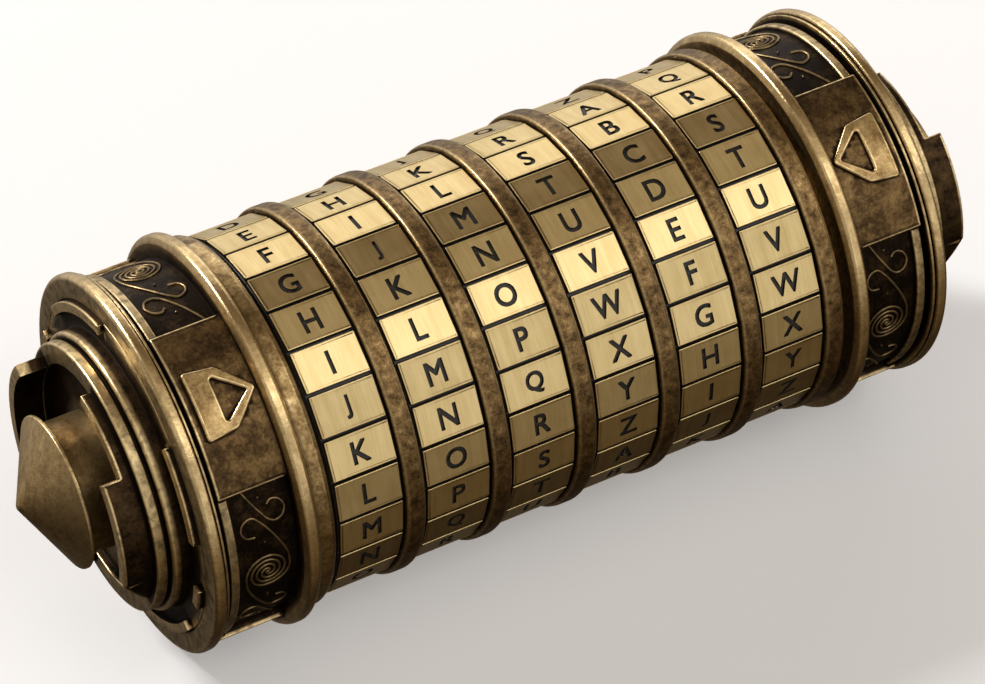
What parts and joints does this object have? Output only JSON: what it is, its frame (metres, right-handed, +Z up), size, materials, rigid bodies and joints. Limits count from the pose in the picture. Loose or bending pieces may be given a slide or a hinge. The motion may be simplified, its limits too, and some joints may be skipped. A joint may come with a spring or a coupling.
{
  "type": "combination puzzle vault",
  "caption": "Cylindrical combination puzzle vault with letter rings between two crowned end caps and a note chamber that pulls out of one end.",
  "frame": {"origin": "bottom centre of the bounding box, where the two cap ridges rest on the table", "axes": "+X along the barrel from the fixed cap to the cap that pulls out, +Y to the back, +Z up"},
  "size_m": [0.129, 0.0496, 0.0496],
  "materials": {
    "ring_brass": "brushed pale brass facets with dark filled grooves and a mottled bead",
    "cap_brass": "antiqued cast brass, dark in the recesses, worn bright on the edges",
    "crown_dark_brass": "dark oxidised brass with worn edges",
    "cone_brass": "sandy mottled antique brass",
    "inner_brass": "turned brass, lightly oxidised",
    "screw_steel": "plain turned steel"
  },
  "bodies": {
    "barrel": {"left_end_cap": "cap_brass", "left_crown_disc": "crown_dark_brass", "left_cone_finial": "cone_brass", "left_cap_screws": "screw_steel", "slotted_sleeve": "inner_brass", "friction_washer": "screw_steel", "retaining_collar": "inner_brass", "collar_screws": "screw_steel"},
    "drawer": {"right_end_cap": "cap_brass", "right_crown_disc": "crown_dark_brass", "right_cone_finial": "cone_brass", "right_cap_screws": "screw_steel", "chamber_tube": "inner_brass", "locking_lugs": "screw_steel"},
    "ring_1": {"letter_ring_1": "ring_brass", "code_ring_1": "inner_brass"},
    "ring_2": {"letter_ring_2": "ring_brass", "code_ring_2": "inner_brass"},
    "ring_3": {"letter_ring_3": "ring_brass", "code_ring_3": "inner_brass"},
    "ring_4": {"letter_ring_4": "ring_brass", "code_ring_4": "inner_brass"},
    "ring_5": {"letter_ring_5": "ring_brass", "code_ring_5": "inner_brass"},
    "ring_6": {"letter_ring_6": "ring_brass", "code_ring_6": "inner_brass"}
  },
  "joints": [
    {"name": "drawer_slide", "type": "slide", "parent": "barrel", "child": "drawer", "axis": [1, 0, 0], "range_m": [0, 0.1]},
    {"name": "ring_1_turn", "type": "hinge", "parent": "barrel", "child": "ring_1", "pos_m": [-0.02805, 0, 0.0248], "axis": [1, 0, 0], "continuous": true},
    {"name": "ring_2_turn", "type": "hinge", "parent": "barrel", "child": "ring_2", "pos_m": [-0.01645, 0, 0.0248], "axis": [1, 0, 0], "continuous": true},
    {"name": "ring_3_turn", "type": "hinge", "parent": "barrel", "child": "ring_3", "pos_m": [-0.00485, 0, 0.0248], "axis": [1, 0, 0], "continuous": true},
    {"name": "ring_4_turn", "type": "hinge", "parent": "barrel", "child": "ring_4", "pos_m": [0.00675, 0, 0.0248], "axis": [1, 0, 0], "continuous": true},
    {"name": "ring_5_turn", "type": "hinge", "parent": "barrel", "child": "ring_5", "pos_m": [0.01835, 0, 0.0248], "axis": [1, 0, 0], "continuous": true},
    {"name": "ring_6_turn", "type": "hinge", "parent": "barrel", "child": "ring_6", "pos_m": [0.02995, 0, 0.0248], "axis": [1, 0, 0], "continuous": true}
  ]
}
